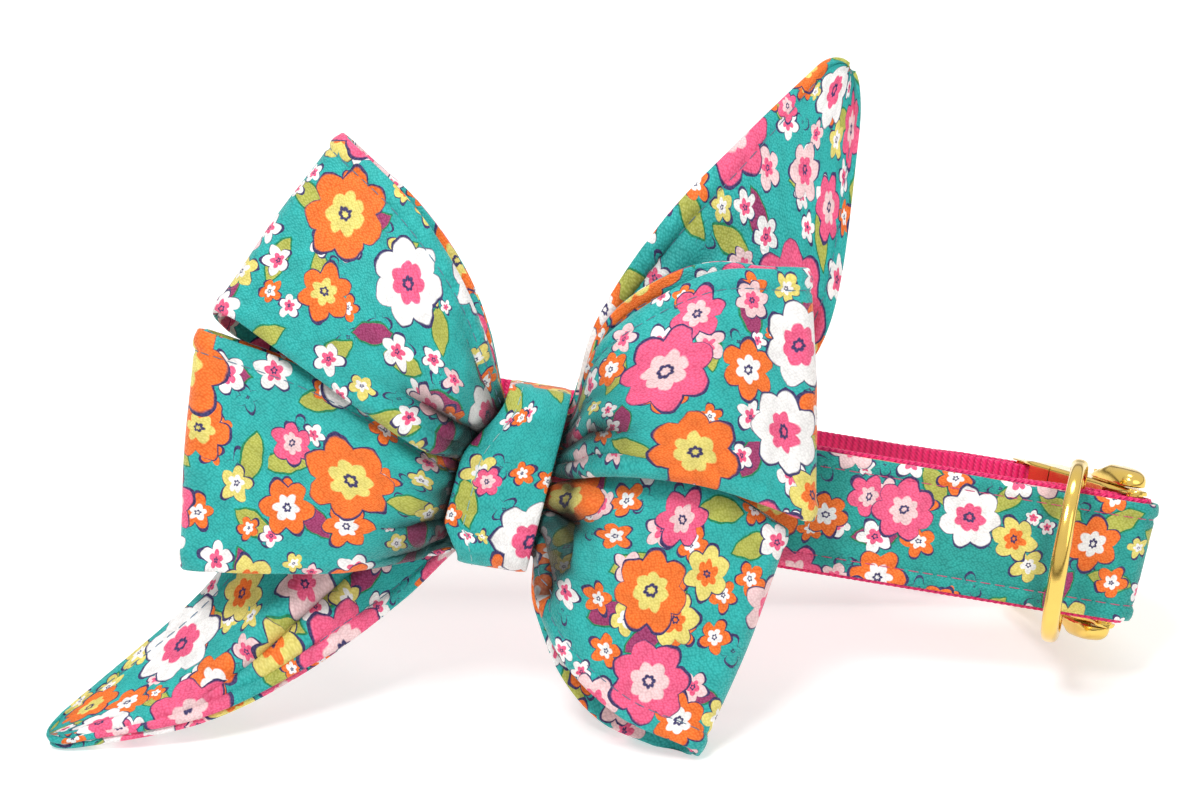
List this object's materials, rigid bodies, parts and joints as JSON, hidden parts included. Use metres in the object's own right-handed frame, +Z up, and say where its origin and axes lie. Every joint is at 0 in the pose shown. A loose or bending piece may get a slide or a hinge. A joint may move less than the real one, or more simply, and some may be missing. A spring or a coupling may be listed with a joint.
{
  "type": "dog bow collar",
  "caption": "Dog collar of webbing under printed cotton, fastened in a flattened loop by a metal side-release buckle, with a leash ring and a large four-loop bow with two pointed tails",
  "frame": {"origin": "middle of the bounding box's base, on the table the collar rests on", "axes": "+X along the front strap towards the buckle, +Y from the bow towards the back strap, +Z up"},
  "size_m": [0.2172, 0.084, 0.1218],
  "materials": {
    "nylon_webbing": "woven nylon, coarse rib",
    "printed_cotton": "floral printed cotton, matt",
    "gold_aluminium": "polished and anodised, gold coloured",
    "gold_plated_brass": "polished, gold plated"
  },
  "bodies": {
    "collar": {"strap_webbing": "nylon_webbing", "strap_cover": "printed_cotton", "bow_loop_upper_left": "printed_cotton", "bow_loop_lower_left": "printed_cotton", "bow_loop_upper_right": "printed_cotton", "bow_loop_lower_right": "printed_cotton", "bow_tail_upper_right": "printed_cotton", "bow_tail_lower_left": "printed_cotton", "bow_knot_band": "printed_cotton", "buckle_socket": "gold_aluminium", "buckle_tongue": "gold_aluminium", "buckle_button_upper": "gold_aluminium", "buckle_button_lower": "gold_aluminium"},
    "ring": {"leash_ring": "gold_plated_brass"}
  },
  "joints": [
    {"name": "leash_ring_swing", "type": "hinge", "parent": "collar", "child": "ring", "pos_m": [0.09193, -0.00449, 0.02727], "axis": [0.1633, 0.3536, 0.921], "range_deg": [-52, 72]}
  ]
}
